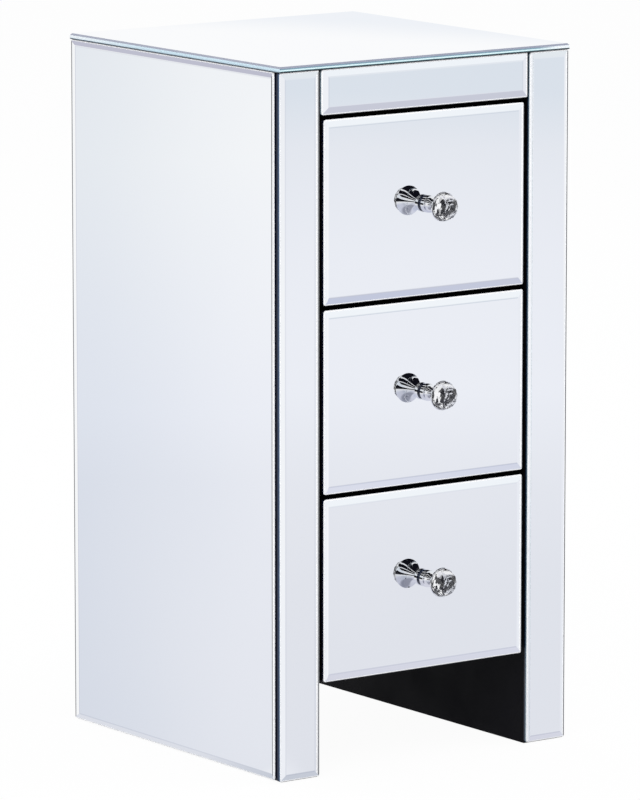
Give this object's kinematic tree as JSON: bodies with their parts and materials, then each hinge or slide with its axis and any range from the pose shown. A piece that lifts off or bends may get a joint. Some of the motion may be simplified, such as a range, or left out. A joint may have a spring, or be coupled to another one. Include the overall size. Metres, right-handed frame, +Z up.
{
  "type": "mirrored nightstand",
  "caption": "Narrow nightstand of black board faced with bevelled mirror glass, with sliding drawers on ball-bearing runners and crystal knobs.",
  "frame": {"origin": "on the floor, in the middle of the box that holds the cabinet and its knobs", "axes": "+Z up, +Y to the back, so the drawers open along -Y, +X to the right seen from the front"},
  "size_m": [0.3, 0.345, 0.6],
  "materials": {
    "mirror_glass": "silvered float glass with ground bevels",
    "top_glass": "silvered float glass with polished blue-green edges",
    "black_board": "fibreboard with matt black paint",
    "back_panel": "thin hardboard with matt black paint",
    "drawer_board": "fibreboard with black foil",
    "drawer_panel": "thin hardboard with black foil",
    "batten_wood": "raw softwood",
    "runner_steel": "zinc-plated steel strip",
    "cage_steel": "plain steel strip",
    "ball_steel": "polished steel",
    "screw_steel": "zinc-plated",
    "chrome": "polished chrome",
    "crystal": "cut and polished crystal"
  },
  "bodies": {
    "carcass": {"left_side_mirror": "mirror_glass", "right_side_mirror": "mirror_glass", "left_stile_mirror": "mirror_glass", "right_stile_mirror": "mirror_glass", "top_rail_mirror": "mirror_glass", "top_mirror": "top_glass", "carcass_screws": "screw_steel", "back_screws": "screw_steel", "left_side_board": "black_board", "right_side_board": "black_board", "top_board": "black_board", "bottom_board": "black_board", "left_leg_board": "black_board", "right_leg_board": "black_board", "back_board": "back_panel", "left_stile_board": "black_board", "right_stile_board": "black_board", "top_rail_board": "black_board", "cabinet_runners": "runner_steel", "runner_battens": "batten_wood", "cabinet_runner_screws": "screw_steel"},
    "lower_drawer": {"lower_front_board": "black_board", "lower_front_mirror": "mirror_glass", "lower_left_side": "drawer_board", "lower_right_side": "drawer_board", "lower_back": "drawer_board", "lower_bottom": "drawer_panel", "lower_knob_base": "chrome", "lower_knob_crystal": "crystal", "lower_knob_screw": "screw_steel", "lower_drawer_runners": "runner_steel", "lower_runner_screws": "screw_steel"},
    "lower_cages": {"lower_ball_cages": "cage_steel", "lower_bearing_balls": "ball_steel"},
    "middle_drawer": {"middle_front_board": "black_board", "middle_front_mirror": "mirror_glass", "middle_left_side": "drawer_board", "middle_right_side": "drawer_board", "middle_back": "drawer_board", "middle_bottom": "drawer_panel", "middle_knob_base": "chrome", "middle_knob_crystal": "crystal", "middle_knob_screw": "screw_steel", "middle_drawer_runners": "runner_steel", "middle_runner_screws": "screw_steel"},
    "middle_cages": {"middle_ball_cages": "cage_steel", "middle_bearing_balls": "ball_steel"},
    "upper_drawer": {"upper_front_board": "black_board", "upper_front_mirror": "mirror_glass", "upper_left_side": "drawer_board", "upper_right_side": "drawer_board", "upper_back": "drawer_board", "upper_bottom": "drawer_panel", "upper_knob_base": "chrome", "upper_knob_crystal": "crystal", "upper_knob_screw": "screw_steel", "upper_drawer_runners": "runner_steel", "upper_runner_screws": "screw_steel"},
    "upper_cages": {"upper_ball_cages": "cage_steel", "upper_bearing_balls": "ball_steel"}
  },
  "joints": [
    {"name": "lower_drawer_slide", "type": "slide", "parent": "carcass", "child": "lower_drawer", "axis": [0, -1, 0], "range_m": [0, 0.18]},
    {"name": "lower_cage_slide", "type": "slide", "parent": "carcass", "child": "lower_cages", "axis": [0, -1, 0], "range_m": [0, 0.09]},
    {"name": "middle_drawer_slide", "type": "slide", "parent": "carcass", "child": "middle_drawer", "axis": [0, -1, 0], "range_m": [0, 0.18]},
    {"name": "middle_cage_slide", "type": "slide", "parent": "carcass", "child": "middle_cages", "axis": [0, -1, 0], "range_m": [0, 0.09]},
    {"name": "upper_drawer_slide", "type": "slide", "parent": "carcass", "child": "upper_drawer", "axis": [0, -1, 0], "range_m": [0, 0.18]},
    {"name": "upper_cage_slide", "type": "slide", "parent": "carcass", "child": "upper_cages", "axis": [0, -1, 0], "range_m": [0, 0.09]}
  ],
  "couplings": [
    {"joint": "lower_cage_slide", "follows": "lower_drawer_slide", "ratio": 0.5},
    {"joint": "middle_cage_slide", "follows": "middle_drawer_slide", "ratio": 0.5},
    {"joint": "upper_cage_slide", "follows": "upper_drawer_slide", "ratio": 0.5}
  ]
}
